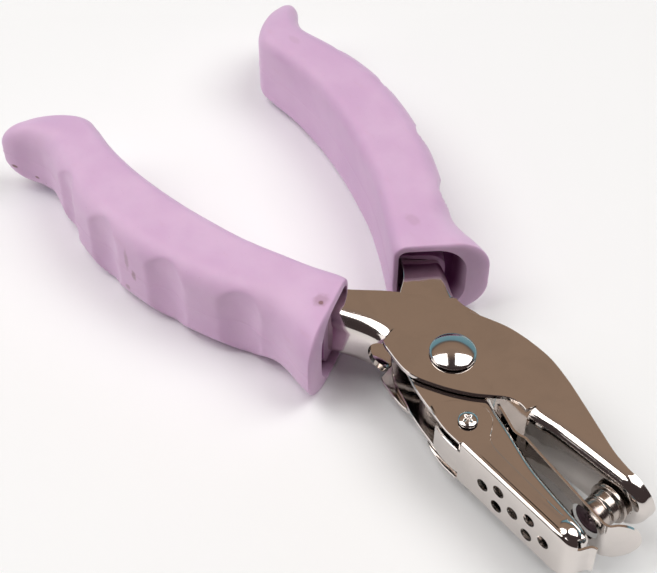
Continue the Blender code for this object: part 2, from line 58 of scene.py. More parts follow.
PIVOT = Vector(next(j["pos_m"] for j in frame["joints"] if j["name"] == "jaw_pivot"))
TILT = radians(2.6)  # slant of the line between the handles

# ---------------------------------------------------------------- shader helpers


class Tree:
    """Short names for the nodes of one material, or of the world."""

    def __init__(self, owner, shader="Principled BSDF", coordinates="Object"):
        owner.use_nodes = True
        self.nodes = owner.node_tree.nodes
        self.links = owner.node_tree.links
        self.shader = self.nodes[shader]
        self.position = self.nodes.new("ShaderNodeTexCoord").outputs[coordinates]

    def put(self, node, name, value):
        if isinstance(value, bpy.types.NodeSocket):
            self.links.new(value, node.inputs[name])
        elif value is not None:
            node.inputs[name].default_value = value

    def math(self, operation, a, b=None, c=None):
        node = self.nodes.new("ShaderNodeMath")
        node.operation = operation
        for index, value in enumerate((a, b, c)):
            self.put(node, index, value)
        return node.outputs[0]

    def vector(self, operation, a, b=None):
        node = self.nodes.new("ShaderNodeVectorMath")
        node.operation = operation
        self.put(node, 0, a)
        self.put(node, 1, b)
        return node.outputs["Value" if operation in ("LENGTH", "DOT_PRODUCT") else "Vector"]

    def noise(self, scale, detail=3.0, roughness=0.5, stretch=None, distortion=0.0):
        node = self.nodes.new("ShaderNodeTexNoise")
        self.put(node, "Scale", scale)
        self.put(node, "Detail", detail)
        self.put(node, "Roughness", roughness)
        self.put(node, "Distortion", distortion)
        place = self.position
        if stretch:
            mapping = self.nodes.new("ShaderNodeMapping")
            mapping.inputs["Scale"].default_value = stretch[0]
            mapping.inputs["Rotation"].default_value = stretch[1]
            self.links.new(place, mapping.inputs["Vector"])
            place = mapping.outputs[0]
        self.links.new(place, node.inputs["Vector"])
        return node.outputs[0]

    def cells(self, scale):
        node = self.nodes.new("ShaderNodeTexVoronoi")
        self.put(node, "Scale", scale)
        self.links.new(self.position, node.inputs["Vector"])
        return node.outputs["Distance"]

    def span(self, value, low, high, to_low=0.0, to_high=1.0):
        node = self.nodes.new("ShaderNodeMapRange")
        node.interpolation_type = "SMOOTHSTEP"
        for name, v in (("Value", value), ("From Min", low), ("From Max", high),
                        ("To Min", to_low), ("To Max", to_high)):
            self.put(node, name, v)
        return node.outputs[0]

    def mix(self, share, a, b):
        node = self.nodes.new("ShaderNodeMix")
        node.data_type = "RGBA"
        self.put(node, 0, share)
        self.put(node, 6, a if isinstance(a, bpy.types.NodeSocket) else (*a, 1.0))
        self.put(node, 7, b if isinstance(b, bpy.types.NodeSocket) else (*b, 1.0))
        return node.outputs[2]

    def bump(self, height, distance, below=None):
        node = self.nodes.new("ShaderNodeBump")
        self.put(node, "Strength", 1.0)
        self.put(node, "Distance", distance)
        self.put(node, "Height", height)
        self.put(node, "Normal", below)
        return node.outputs[0]

    def near(self, spot, radii):
        """1 at a design point, falling to 0 at radii millimetres, with a ragged edge."""
        offset = self.vector("SUBTRACT", self.position, PIVOT + Vector(spot) * MM)
        length = self.vector("LENGTH", self.vector("DIVIDE", offset, Vector(radii) * MM))
        ragged = self.math("MULTIPLY_ADD", self.noise(900.0, 4.0), 0.7, -0.35)
        return self.span(self.math("ADD", length, ragged), 0.45, 1.0, 1.0, 0.0)

    def attribute(self, name):
        node = self.nodes.new("ShaderNodeAttribute")
        node.attribute_name = name
        return node.outputs["Fac"]


NICKEL, NICKEL_PIT = (0.70, 0.655, 0.625), (0.30, 0.27, 0.25)


def nickel_material(name, rough=0.07, waves=1.0, grain=0.0):
    """Bright nickel on pressed steel: faint waves, hairline scratches, smudges and pin-pricks.

    grain is the angle of the long scratches; a second, fainter set crosses them.
    """
    material = bpy.data.materials.new(name)
    t = Tree(material)
    smudge = t.noise(140.0, 4.0, 0.6, distortion=0.4)
    fine = t.noise(5200.0, 2.0, 0.6)
    hair = t.noise(1.0, 2.0, 0.7, stretch=((260.0, 5200.0, 5200.0), (0, 0, grain)))
    cross = t.noise(1.0, 2.0, 0.7, stretch=((300.0, 4200.0, 4200.0), (0, 0, grain + 1.1)))
    tone = t.mix(t.span(smudge, 0.35, 0.75), NICKEL, tuple(c * 0.93 for c in NICKEL))
    speck = t.span(t.cells(1100.0), 0.035, 0.08, 1.0, 0.0)
    tone = t.mix(t.math("MULTIPLY", speck, 0.35), tone, NICKEL_PIT)
    t.put(t.shader, "Base Color", tone)
    t.shader.inputs["Metallic"].default_value = 1.0
    base = t.span(smudge, 0.3, 0.8, rough * 0.8, rough * 1.7)
    haze = t.span(fine, 0.3, 0.7, -0.012, 0.02)
    scratch = t.span(hair, 0.66, 0.8, 0.0, 0.10)
    rough_sum = t.math("ADD", t.math("ADD", base, haze), scratch)
    t.put(t.shader, "Roughness", t.math("MAXIMUM", rough_sum, 0.03))
    wave = t.bump(t.noise(95.0, 2.0, 0.4), 0.00016 * waves)
    peel = t.bump(t.noise(900.0, 2.0, 0.5), 0.0000045, below=wave)
    lines = t.math("ADD", t.span(hair, 0.55, 0.85), t.span(cross, 0.62, 0.85))
    t.put(t.shader, "Normal", t.bump(lines, 0.0000011, below=peel))
    return material


OIL = (0.075, 0.045, 0.055)


def steel_material(name, tint, rough, turning=(700.0, 9000.0, 700.0)):
    """Turned or drawn steel: fine lines, dull patches, and oil where the mesh says so.

    turning is how finely the lines are packed along each axis.
    """
    material = bpy.data.materials.new(name)
    t = Tree(material)
    patches = t.noise(420.0, 4.0, 0.6)
    lines = t.noise(1.0, 2.0, 0.6, stretch=(turning, (0, 0, 0)))
    dark = tuple(c * 0.72 for c in tint)
    worked = t.mix(t.span(patches, 0.35, 0.7), tint, dark)
    t.put(t.shader, "Base Color", t.mix(t.attribute("oil"), worked, OIL))
    t.shader.inputs["Metallic"].default_value = 1.0
    t.put(t.shader, "Roughness", t.math("ADD", t.span(patches, 0.3, 0.75, rough, rough * 1.5),
                                        t.span(lines, 0.4, 0.7, 0.0, 0.07)))
    t.put(t.shader, "Normal", t.bump(lines, 0.000004, below=t.bump(patches, 0.00001)))
    return material


LILAC = (0.660, 0.425, 0.640)
LILAC_PALE = (0.715, 0.490, 0.690)
# Painted shade: the colour the rubber darkens to deep inside the mouth's cavity.
LILAC_PAINTED_SHADE = (0.205, 0.040, 0.165)
RUBBED, FLECK, DIRT = (0.62, 0.36, 0.44), (0.34, 0.19, 0.24), (0.20, 0.09, 0.075)


def rubber_material(name, spots):
    """Satin moulded rubber: fine matte grain, faint mottling, rubbed streaks, flecks and dirt.

    Each spot is (design point, radii in millimetres, strength). The mesh says how deep in the
    mouth's cavity a point lies, where painted shade darkens the colour.
    """
    material = bpy.data.materials.new(name)
    t = Tree(material)
    mottle = t.noise(75.0, 4.0, 0.55)
    grain = t.noise(5200.0, 3.0, 0.65)
    colour = t.mix(t.span(mottle, 0.3, 0.72), LILAC, LILAC_PALE)
    streaks = t.noise(1.0, 4.0, 0.6, stretch=((160.0, 620.0, 620.0), (0.0, 0.0, -0.5)))
    colour = t.mix(t.math("MULTIPLY", t.span(streaks, 0.60, 0.78), 0.16), colour, RUBBED)
    flecks = t.span(t.cells(520.0), 0.03, 0.075, 1.0, 0.0)
    colour = t.mix(t.math("MULTIPLY", flecks, 0.22), colour, FLECK)
    for place, radii, share in spots:
        colour = t.mix(t.math("MULTIPLY", t.near(place, radii), share), colour, DIRT)
    # Painted shade: the colour darkens towards the inside of the mouth's cavity, where light hardly
    # reaches.
    colour = t.mix(t.attribute("cavity"), colour, LILAC_PAINTED_SHADE)
    t.put(t.shader, "Base Color", colour)
    t.put(t.shader, "Roughness", t.math("ADD", t.span(mottle, 0.3, 0.7, 0.43, 0.52),
                                        t.span(grain, 0.3, 0.7, -0.03, 0.05)))
    t.shader.inputs["Specular IOR Level"].default_value = 0.42
    t.shader.inputs["Subsurface Weight"].default_value = 0.12
    t.shader.inputs["Subsurface Radius"].default_value = (0.004, 0.0018, 0.003)
    t.shader.inputs["Subsurface Scale"].default_value = 0.35
    t.shader.inputs["Sheen Weight"].default_value = 0.10
    t.shader.inputs["Sheen Roughness"].default_value = 0.5
    soft = t.bump(t.noise(210.0, 3.0, 0.5), 0.00007)
    t.put(t.shader, "Normal", t.bump(grain, 0.000016, below=soft))
    return material


# ---------------------------------------------------------------- mesh helpers


def scene_object(name, data):
    item = bpy.data.objects.new(name, data)
    bpy.context.scene.collection.objects.link(item)
    return item


def mesh_object(name, bm):
    mesh = bpy.data.meshes.new(name)
    bm.to_mesh(mesh)
    bm.free()
    return scene_object(name, mesh)


def row_object(name, bm, material, sharp):
    """Design millimetres to an object in the row frame; bends above sharp degrees stay crisp."""
    for vert in bm.verts:
        vert.co = PIVOT + vert.co * MM
    item = mesh_object(name, bm)
    item.data.shade_smooth()
    item.data.set_sharp_from_angle(angle=radians(sharp))
    item.data.materials.append(material)
    return item


def finish_mesh(name, bm, material, body, nodes, sharp=38.0):
    """The piece in the row frame, riding on its body and standing for its CAD nodes."""
    item = row_object(name, bm, material, sharp)
    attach(item, body)
    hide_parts(*nodes)
    return item


def finish_pressing(name, bm, material, body, nodes):
    """A nickel-plated pressing, with its shading weighted so that flat faces stay flat."""
    item = finish_mesh(name, bm, material, body, nodes)
    modifier = item.modifiers.new("even_normals", "WEIGHTED_NORMAL")
    modifier.keep_sharp = True
    modifier.weight = 100


def face_outwards(bm):
    bmesh.ops.recalc_face_normals(bm, faces=bm.faces)
    if bm.calc_volume(signed=True) < 0:
        bmesh.ops.reverse_faces(bm, faces=bm.faces)


def catmull(points, steps):
    """Catmull-Rom curve through the points, both ends kept."""
    padded = [points[0]] + list(points) + [points[-1]]
    curve = []
    for before, start, end, after in zip(padded, padded[1:], padded[2:], padded[3:]):
        for step in range(steps):
            t = step / steps
            weights = (-t + 2 * t**2 - t**3, 2 - 5 * t**2 + 3 * t**3,
                       t + 4 * t**2 - 3 * t**3, -t**2 + t**3)
            curve.append(tuple(0.5 * sum(w * p[axis] for w, p in
                                         zip(weights, (before, start, end, after)))
                               for axis in range(len(start))))
    curve.append(tuple(points[-1]))
    return curve


def resample(points, count):
    """The plan line as count points, evenly spaced along it."""
    passed = [0.0]
    for start, end in zip(points, points[1:]):
        passed.append(passed[-1] + hypot(end[0] - start[0], end[1] - start[1]))
    result = []
    index = 0
    for step in range(count):
        target = passed[-1] * step / (count - 1)
        while index < len(points) - 2 and passed[index + 1] < target:
            index += 1
        share = (target - passed[index]) / (passed[index + 1] - passed[index])
        result.append(tuple(a + (b - a) * share for a, b in zip(points[index], points[index + 1])))
    return result


def handle_point(u, v, side):
    """Plan point of a handle: u back from the pivot, v outwards; side is 1 or -1."""
    return (-u * cos(TILT) + side * v * sin(TILT), u * sin(TILT) + side * v * cos(TILT))


def handle_edge(stations, side):
    return [handle_point(u, v, side) for u, v in stations]


def smooth_step(low, high, value):
    t = min(1.0, max(0.0, (value - low) / (high - low)))
    return t * t * (3 - 2 * t)


def inward_normals(line, towards):
    """Unit normals of a plan line, each on the side of its partner point in towards."""
    result = []
    for index, point in enumerate(line):
        ahead = line[min(index + 1, len(line) - 1)]
        behind = line[max(index - 1, 0)]
        dx, dy = ahead[0] - behind[0], ahead[1] - behind[1]
        length = hypot(dx, dy)
        normal = (-dy / length, dx / length)
        partner = towards[index]
        facing = (partner[0] - point[0]) * normal[0] + (partner[1] - point[1]) * normal[1]
        result.append(normal if facing > 0 else (-normal[0], -normal[1]))
    return result


BEND_MARGIN = 0.5    # from a bend to the row of points next to it
CLEAR_PUSH = 0.7     # a corner is moved only if its free edges agree on a direction this well
EDGE_ROOM = 0.42     # largest share of the way to the next point that a rounded edge takes
ARC = 0.72           # how far into the sheet a rounded edge's middle points lie, in radii


def section(web, edge, inward, half, bend, sheet, steps, turn=None):
    """Outer and inner points across a U-shaped sheet, upper free edge to lower free edge.

    steps are the cells round a bend, down a wall and over the web. The wall has one more, a
    narrow one next to the bend. turn is the angle round a rounded nose, from a right angle
    where it starts to 0 at its tip.
    """
    bend_steps, wall_steps, web_steps = steps

    def at(inset, z):
        spot = Vector((web[0] + inward[0] * inset, web[1] + inward[1] * inset, z))
        return spot if turn is None else wrap(spot)

    def wrap(spot):
        return Vector((spot.x + spot.z * cos(turn), spot.y, spot.z * sin(turn)))

    start, start_in = Vector((*edge, half)), Vector((*edge, half - sheet))
    if turn is not None:
        start, start_in = wrap(start), wrap(start_in)
    end, end_in = at(bend, half), at(bend, half - sheet)
    length = (end - start).length
    shares = [s / wall_steps for s in range(wall_steps)]
    shares += [max(0.6, 1 - BEND_MARGIN / length), 1.0]
    upper = [(start.lerp(end, share), start_in.lerp(end_in, share)) for share in shares]
    inner_bend = max(bend - sheet, 0.0)
    for step in range(1, bend_steps + 1):
        a = (1 - step / bend_steps) * pi / 2
        inset, drop = 1 - cos(a), 1 - sin(a)
        upper.append((at(bend * inset, half - bend * drop),
                      at(sheet + inner_bend * inset, half - sheet - inner_bend * drop)))
    lower = [(Vector((o.x, o.y, -o.z)), Vector((i.x, i.y, -i.z))) for o, i in reversed(upper)]
    last, last_in = upper[-1]
    web_points = []
    for s in range(1, web_steps):
        share = 1 - 2 * s / web_steps
        web_points.append((Vector((last.x, last.y, last.z * share)),
                           Vector((last_in.x, last_in.y, last_in.z * share))))
    return upper + web_points + lower


def pressed_sheet(sections, present, edge_radius, closed_tip=False):
    """Closed bent sheet with rounded edges. present(i, k) says which cells hold metal.

    closed_tip joins the last row's upper and lower halves, as at the tip of a rounded nose.
    """
    rows, columns = len(sections) - 1, len(sections[0]) - 1
    cells = [[present(i, k) for k in range(columns)] for i in range(rows)]

    def filled(i, k):
        return 0 <= i < rows and 0 <= k < columns and cells[i][k]

    pushes = {}
    rims = []
    for i in range(rows):
        for k in range(columns):
            if not cells[i][k]:
                continue
            corners = [(i, k), (i + 1, k), (i + 1, k + 1), (i, k + 1)]
            middle = sum((sections[a][b][0] for a, b in corners), Vector()) / 4
            for index, neighbour in enumerate([(i, k - 1), (i + 1, k), (i, k + 1), (i - 1, k)]):
                if filled(*neighbour) or (closed_tip and neighbour[0] == rows):
                    continue
                start, end = corners[index], corners[(index + 1) % 4]
                rims.append((start, end))
                a, b = sections[start[0]][start[1]][0], sections[end[0]][end[1]][0]
                along = (b - a).normalized() if (b - a).length > 1e-9 else Vector((1, 0, 0))
                away = (a + b) / 2 - middle
                away -= along * away.dot(along)
                if away.length > 1e-9:
                    for corner in (start, end):
                        pushes.setdefault(corner, []).append(away.normalized())

    def room(corner):
        """Shortest way to a neighbouring point, so that a rounded edge never folds over."""
        i, k = corner
        here = sections[i][k][0]
        beside = ((i - 1, k), (i + 1, k), (i, k - 1), (i, k + 1))
        near = [(sections[a][b][0] - here).length for a, b in beside
                if 0 <= a <= rows and 0 <= b <= columns]
        return min([d for d in near if d > 1e-6] or [1.0])

    bm = bmesh.new()
    made = {}

    def vertex(corner, layer):
        """layer 0 is the outer face, 3 the inner face, 1 and 2 lie on the rounded edge."""
        key = (corner, layer)
        if key not in made:
            outer, inner = sections[corner[0]][corner[1]]
            if corner in pushes:
                through = (inner - outer).normalized()
                push = sum(pushes[corner], Vector())
                push -= through * push.dot(through)
                push = push.normalized() if push.length > CLEAR_PUSH else Vector()
                radius = min(edge_radius, EDGE_ROOM * room(corner))
                back, into = (radius, 0.0) if layer in (0, 3) else (radius * (1 - ARC), radius * ARC)
                spot = (outer + through * into) if layer < 2 else (inner - through * into)
                spot = spot - push * back
            else:
                spot = outer.copy() if layer == 0 else inner.copy()
            if closed_tip and corner[0] == rows:
                spot.z = 0.0
            made[key] = bm.verts.new(spot)
        return made[key]

    for i in range(rows):
        for k in range(columns):
            if cells[i][k]:
                corners = [(i, k), (i + 1, k), (i + 1, k + 1), (i, k + 1)]
                bm.faces.new([vertex(c, 0) for c in corners])
                bm.faces.new([vertex(c, 3) for c in reversed(corners)])
    for start, end in rims:
        for layer in range(3):
            bm.faces.new((vertex(end, layer), vertex(start, layer),
                          vertex(start, layer + 1), vertex(end, layer + 1)))
    if closed_tip:
        bmesh.ops.remove_doubles(bm, verts=bm.verts, dist=1e-4)
    return bm


def cylinder(radius, centre, axis, reach, segments=72):
    bm = bmesh.new()
    bmesh.ops.create_cone(bm, cap_ends=True, segments=segments, radius1=radius, radius2=radius,
                          depth=2 * reach)
    turn = Vector((0, 0, 1)).rotation_difference(Vector(axis)).to_matrix().to_4x4()
    bm.transform(Matrix.Translation(Vector(centre)) @ turn)
    return bm


def cut(bm, cutters):
    """The sheet with the cutters' shapes taken out of it."""
    face_outwards(bm)
    target = mesh_object("cut_target", bm)
    helpers = []
    for index, cutter in enumerate(cutters):
        helper = mesh_object("cutter_%d" % index, cutter)
        modifier = target.modifiers.new("cut", "BOOLEAN")
        modifier.operation = "DIFFERENCE"
        modifier.solver = "EXACT"
        modifier.object = helper
        helpers.append(helper)
    bpy.context.view_layer.update()
    done = target.evaluated_get(bpy.context.evaluated_depsgraph_get()).to_mesh()
    result = bmesh.new()
    result.from_mesh(done)
    for item in helpers + [target]:
        mesh = item.data
        bpy.data.objects.remove(item, do_unlink=True)
        bpy.data.meshes.remove(mesh)
    bmesh.ops.remove_doubles(result, verts=result.verts, dist=1e-5)
    return result


def soften_holes(bm, holes, width):
    """Bevel the rims of round holes in sheet: holes are (centre, axis, radius)."""
    rims = []
    for edge in bm.edges:
        if len(edge.link_faces) != 2 or edge.calc_face_angle(0.0) < radians(50):
            continue
        for centre, axis, radius in holes:
            centre, axis = Vector(centre), Vector(axis).normalized()
            offsets = [v.co - centre for v in edge.verts]
            flat = [(o - axis * o.dot(axis)).length for o in offsets]
            deep = [abs(o.dot(axis)) for o in offsets]
            if all(abs(f - radius) < 0.04 for f in flat) and max(deep) < 3.5:
                rims.append(edge)
                break
    if rims:
        bmesh.ops.bevel(bm, geom=rims, offset=width, segments=2, profile=0.5, affect="EDGES",
                        clamp_overlap=True)


def skin_rings(bm, rings):
    """Quads between each closed ring of vertices and the next."""
    for lower, upper in zip(rings, rings[1:]):
        for n in range(len(lower)):
            m = (n + 1) % len(lower)
            bm.faces.new((lower[n], lower[m], upper[m], upper[n]))


def turned(profile, shape=lambda radius, angle, height: 0.0):
    """Solid of revolution about Z; shape(radius, angle, height) adds height for dimples."""
    segments = 96
    bm = bmesh.new()
    rings = []
    for radius, height in profile:
        angles = [2 * pi * i / segments for i in range(segments if radius > 1e-6 else 1)]
        rings.append([bm.verts.new((radius * cos(a), radius * sin(a),
                                    height + shape(radius, a, height))) for a in angles])
    for lower, upper in zip(rings, rings[1:]):
        for i in range(segments):
            j = (i + 1) % segments
            if len(lower) == 1:
                bm.faces.new((lower[0], upper[j], upper[i]))
            elif len(upper) == 1:
                bm.faces.new((lower[i], lower[j], upper[0]))
            else:
                bm.faces.new((lower[i], lower[j], upper[j], upper[i]))
    return bm


def rounded_profile(corners, radius):
    """The profile with every corner but its two ends replaced by a small arc."""
    steps = 3
    result = [corners[0]]
    for before, here, after in zip(corners, corners[1:], corners[2:]):
        a, b, c = Vector(before), Vector(here), Vector(after)
        trim = min(radius, (b - a).length * 0.45, (c - b).length * 0.45)
        start, end = b + (a - b).normalized() * trim, b + (c - b).normalized() * trim
        for step in range(steps + 1):
            t = step / steps
            spot = start * (1 - t)**2 + b * 2 * t * (1 - t) + end * t**2
            result.append((spot.x, spot.y))
    result.append(corners[-1])
    return result


# ---------------------------------------------------------------- levers

STATIONS = 300
LEVER_STEPS, COVER_STEPS = (8, 1, 2), (6, 10, 24)
PIVOT_HOLE_RADIUS, HINGE_HOLE_RADIUS = 2.7, 1.5
COVER_HINGE = (13.5, -8.5)
PUNCH_HALF, DIE_HALF, COVER_HALF = 6.3, 5.0, 5.8
LEVER_SHEET, DIE_SHEET, COVER_SHEET = 1.0, 0.9, 0.5
LEVER_BEND, HANDLE_BEND, DIE_BEND, COVER_BEND = 2.4, 3.8, 1.5, 0.8
PIN_X, PIN_TIP_Y, PUNCH_WEB_AT_PIN, DIE_WEB_AT_PIN = 40.3, -3.3, 3.25, -7.15
CLOSING_ANGLE = radians(7.1)
NOSE_STEPS, NOSE_LENGTH, NOSE_NARROWING = 36, 5.0, 2.0
HANDLE_OUTER = [(88, 34.2), (72, 34.4), (55, 31.0), (40, 24.6), (32, 19.2)]
HANDLE_INNER = [(88, 27.8), (72, 27.4), (55, 22.8), (40, 16.2), (32, 11.2)]


def channel(web_edge, open_edge, web_gap, half_width, sheet, bend, edge_radius,
            nose_rise=None, handle_bend=None):
    """Pressed lever, a channel whose web is cut away between the two x of web_gap.

    nose_rise gives it a half-round nose, whose free edge climbs by that much towards its tip;
    without it the walls only draw in there. handle_bend is the larger bend along the handle.
    """
    web_line = resample(web_edge, STATIONS)
    open_line = resample(open_edge, STATIONS)
    normals = inward_normals(web_line, open_line)
    has_web = [not web_gap[0] < x < web_gap[1] for x, _ in web_line]
    nose_x = max(x for x, _ in web_line)
    sections = []
    for web, edge, normal, kept in zip(web_line, open_line, normals, has_web):
        wall = hypot(edge[0] - web[0], edge[1] - web[1])
        across = Vector(((edge[0] - web[0]) / wall, (edge[1] - web[1]) / wall))
        clear = smooth_step(0.0, 4.5, min(abs(web[0] - end) for end in web_gap))
        inward = across.lerp(Vector(normal), clear).normalized()
        wanted = bend
        if handle_bend and web[0] < 0:
            wanted += (handle_bend - bend) * smooth_step(-32.0, -14.0, web[0])
        radius = max(sheet + 0.05, min(wanted, wall - 0.3)) if kept else 0.0
        half = half_width
        if nose_rise is None:
            into_nose = max(0.0, (web[0] - nose_x) / NOSE_LENGTH + 1.0)
            half -= NOSE_NARROWING * (1 - sqrt(max(0.0, 1 - into_nose**2)))
        sections.append(section(web, edge, inward, half, radius, sheet, LEVER_STEPS))
    if nose_rise:
        web, edge = web_line[-1], open_line[-1]
        for step in range(1, NOSE_STEPS + 1):
            turn = pi / 2 * (1 - step / NOSE_STEPS)
            rise = nose_rise * (1 - sin(turn))
            here, there = (web[0], web[1] + rise / 4), (edge[0], edge[1] + rise)
            sections.append(section(here, there, (0.0, 1.0), half_width, bend, sheet,
                                    LEVER_STEPS, turn))
            has_web.append(True)
    wall_cells = LEVER_STEPS[1] + 1
    columns = len(sections[0]) - 1

    def present(i, k):
        return k < wall_cells or k >= columns - wall_cells or (has_web[i] and has_web[i + 1])

    return pressed_sheet(sections, present, edge_radius, closed_tip=bool(nose_rise))


def punch_lever(material):
    """Outer lever. A round notch ends its handle's web, and a hole takes the pin's tail."""
    web_edge = catmull(handle_edge(HANDLE_OUTER, -1) + [
        (-21.8, -12.2), (-16.0, -9.4), (-11.9, -8.3), (-9.2, -9.0), (-2.0, -9.8), (4.2, -7.3),
        (9.2, -4.0), (12.2, -1.2), (13.9, 0.45), (15.5, 1.35), (17.4, 1.6), (19.6, 1.3), (22.6, 1.6),
        (26.2, 2.2), (33.0, 2.75), (PIN_X, PUNCH_WEB_AT_PIN)], 16)
    open_edge = catmull(handle_edge(HANDLE_INNER, -1) + [
        (-26.6, -6.0), (-19.2, 1.9), (-11.7, 7.3), (-3.7, 10.9), (2.9, 13.3), (11.3, 14.0),
        (17.9, 12.9), (24.9, 10.8), (31.4, 8.7), (36.0, 7.3), (PIN_X, 6.6)], 16)
    bm = channel(web_edge, open_edge, (-11.2, 18.9), PUNCH_HALF, LEVER_SHEET, LEVER_BEND, 0.16,
                 nose_rise=1.1, handle_bend=HANDLE_BEND)
    notch = radians(18)
    bm = cut(bm, [cylinder(PIVOT_HOLE_RADIUS, (0, 0, 0), (0, 0, 1), 9),
                  cylinder(4.4, (-10.0, -8.8, 0), (-sin(notch), cos(notch), 0), 5),
                  cylinder(1.8, (PIN_X, PUNCH_WEB_AT_PIN, 0), (0, 1, 0), 3)])
    face_outwards(bm)
    finish_pressing("punch_lever_plate", bm, material, "punch_side", ["punch_lever"])


def die_lever(material):
    """Inner lever. Its die hole squares up with the punch pin as the jaws close."""
    open_edge = catmull(handle_edge(HANDLE_INNER, 1) + [
        (-22.9, 7.4), (-19.0, 3.0), (-14.0, -3.2), (-8.0, -7.4), (-2.4, -9.4), (1.8, -10.7),
        (6.4, -11.6), (10.5, -12.1), (20.0, -12.2), (30.0, -12.2), (40.0, -12.2), (43.4, -11.6)], 16)
    web_edge = catmull(handle_edge(HANDLE_OUTER, 1) + [
        (-21.5, 16.0), (-16.7, 13.8), (-12.4, 11.6), (-9.2, 10.9), (-3.9, 11.7), (2.0, 10.5),
        (6.5, 7.0), (9.4, 3.0), (11.7, -0.7), (20.0, -3.3), (29.0, -5.75), (PIN_X, DIE_WEB_AT_PIN),
        (43.8, -7.6), (44.5, -8.4), (44.4, -9.8)], 16)
    bm = channel(web_edge, open_edge, (-11.2, 11.5), DIE_HALF, DIE_SHEET, DIE_BEND, 0.12)
    bm = cut(bm, [cylinder(PIVOT_HOLE_RADIUS, (0, 0, 0), (0, 0, 1), 9),
                  cylinder(HINGE_HOLE_RADIUS, (*COVER_HINGE, 0), (0, 0, 1), 9),
                  cylinder(3.35, (39.72, DIE_WEB_AT_PIN, 0),
                           (sin(CLOSING_ANGLE), cos(CLOSING_ANGLE), 0), 3)])
    face_outwards(bm)
    finish_pressing("die_lever_plate", bm, material, "die_side", ["die_lever"])


def stripper_plate(material):
    """Leaf from its root on the die lever's web, along the slot, to a flared lip at the nose."""
    half_width, half_sheet = 4.7, 0.25
    lift, slope = half_sheet + 0.35, radians(17.2)
    root = [(x + sin(slope) * lift, -3.3 + (20.0 - x) * 0.3133 + cos(slope) * lift)
            for x in (13.4, 16.6, 19.6)]
    path = root + [(21.2, -2.55), (22.6, -2.15), (24.4, -2.35), (35.0, -3.45), (43.9, -4.38)]
    path = resample(catmull(path, 10), 90)
    knee = [Vector((43.9, -4.38)), Vector((44.9, -4.48)), Vector((45.5, -4.0))]
    for step in range(1, 9):
        t = step / 8
        spot = knee[0] * (1 - t)**2 + knee[1] * 2 * t * (1 - t) + knee[2] * t**2
        path.append((spot.x, spot.y))
    direction = Vector((cos(radians(50)), sin(radians(50))))
    widths = [half_width] * len(path)
    lip_length, lip_round, lip_steps = 6.2, 5.0, 32
    for step in range(1, lip_steps + 1):
        along = lip_length * (1 - (1 - step / lip_steps)**1.3)
        spot = knee[2] + direction * along
        path.append((spot.x, spot.y))
        beyond = max(0.0, along - (lip_length - lip_round))
        swell = half_width + 0.3 * smooth_step(0.0, 1.5, along)
        widths.append(max(0.35, sqrt(max(0.0, swell**2 - (beyond * swell / lip_round)**2))))
    sections = []
    levels = 24
    for index, (x, y) in enumerate(path):
        ahead, behind = path[min(index + 1, len(path) - 1)], path[max(index - 1, 0)]
        heading = atan2(ahead[1] - behind[1], ahead[0] - behind[0])
        side = Vector((-sin(heading), cos(heading), 0)) * half_sheet
        rows = []
        for level in range(levels + 1):
            z = widths[index] * sin((level / levels - 0.5) * pi)
            rows.append((Vector((x, y, z)) + side, Vector((x, y, z)) - side))
        sections.append(rows)
    bm = pressed_sheet(sections, lambda i, k: True, 0.22)
    bm = cut(bm, [cylinder(3.6, (PIN_X - 0.1, -4.0, 0), (0, 1, 0), 2),
                  cylinder(1.4, (16.6, -1.6, 0), (sin(slope), cos(slope), 0), 2)])
    face_outwards(bm)
    finish_pressing("stripper_spring_plate", bm, material, "die_side", ["stripper_plate"])


# ---------------------------------------------------------------- rivets and pin


def pivot_rivet(material):
    """Two domed heads with a short upright rim, on one shank."""
    shank, head, height, under = 2.4, 4.6, 1.7, 6.6
    rim, steps = 0.24 * height, 14
    ball = (head**2 + (height - rim)**2) / (2 * (height - rim))
    upper = [(head - 0.08, under), (head, under + 0.1),
             (head, under + rim - 0.18), (head - 0.03, under + rim - 0.07)]
    for step in range(1, steps):
        r = head * (1 - (step - 0.5) / steps)
        upper.append((r, under + height - ball + sqrt(ball**2 - r**2)))
    lower = [(r, -z) for r, z in reversed(upper)]
    top = under + height
    bm = turned([(0, -top)] + lower + [(shank, -under), (shank, under)] + upper + [(0, top)])
    face_outwards(bm)
    finish_mesh("pivot_rivet_domed", bm, material, "die_side", ["pivot_rivet"])


def cover_rivet(material):
    """Small rivet whose domed heads carry a four-armed staking mark."""
    head, under, rim, crown, shank, steps = 1.9, 6.1, 0.14, 0.56, 1.2, 26

    def mark(radius, angle, height):
        if abs(height) < under + 0.05:
            return 0.0
        arm = 0.42 + 0.62 * (0.5 + 0.5 * cos(4 * angle))
        depth = 0.42 * (1 - smooth_step(0.25 * arm, 1.25 * arm, radius))
        return -depth if height > 0 else depth

    radii = [head * step / steps for step in range(steps, 0, -1)]
    upper = [(r, under + rim + crown * sqrt(max(0.0, 1 - (r / head)**2))) for r in radii]
    lower = [(r, -z) for r, z in reversed(upper)]
    edge, top = head - 0.04, under + rim + crown
    bm = turned([(0, -top)] + lower + [(edge, -under), (shank, -under), (shank, under), (edge, under)]
                + upper + [(0, top)], mark)
    face_outwards(bm)
    bm.transform(Matrix.Translation((*COVER_HINGE, 0)))
    finish_mesh("cover_rivet_staked", bm, material, "die_side", ["cover_rivet"])


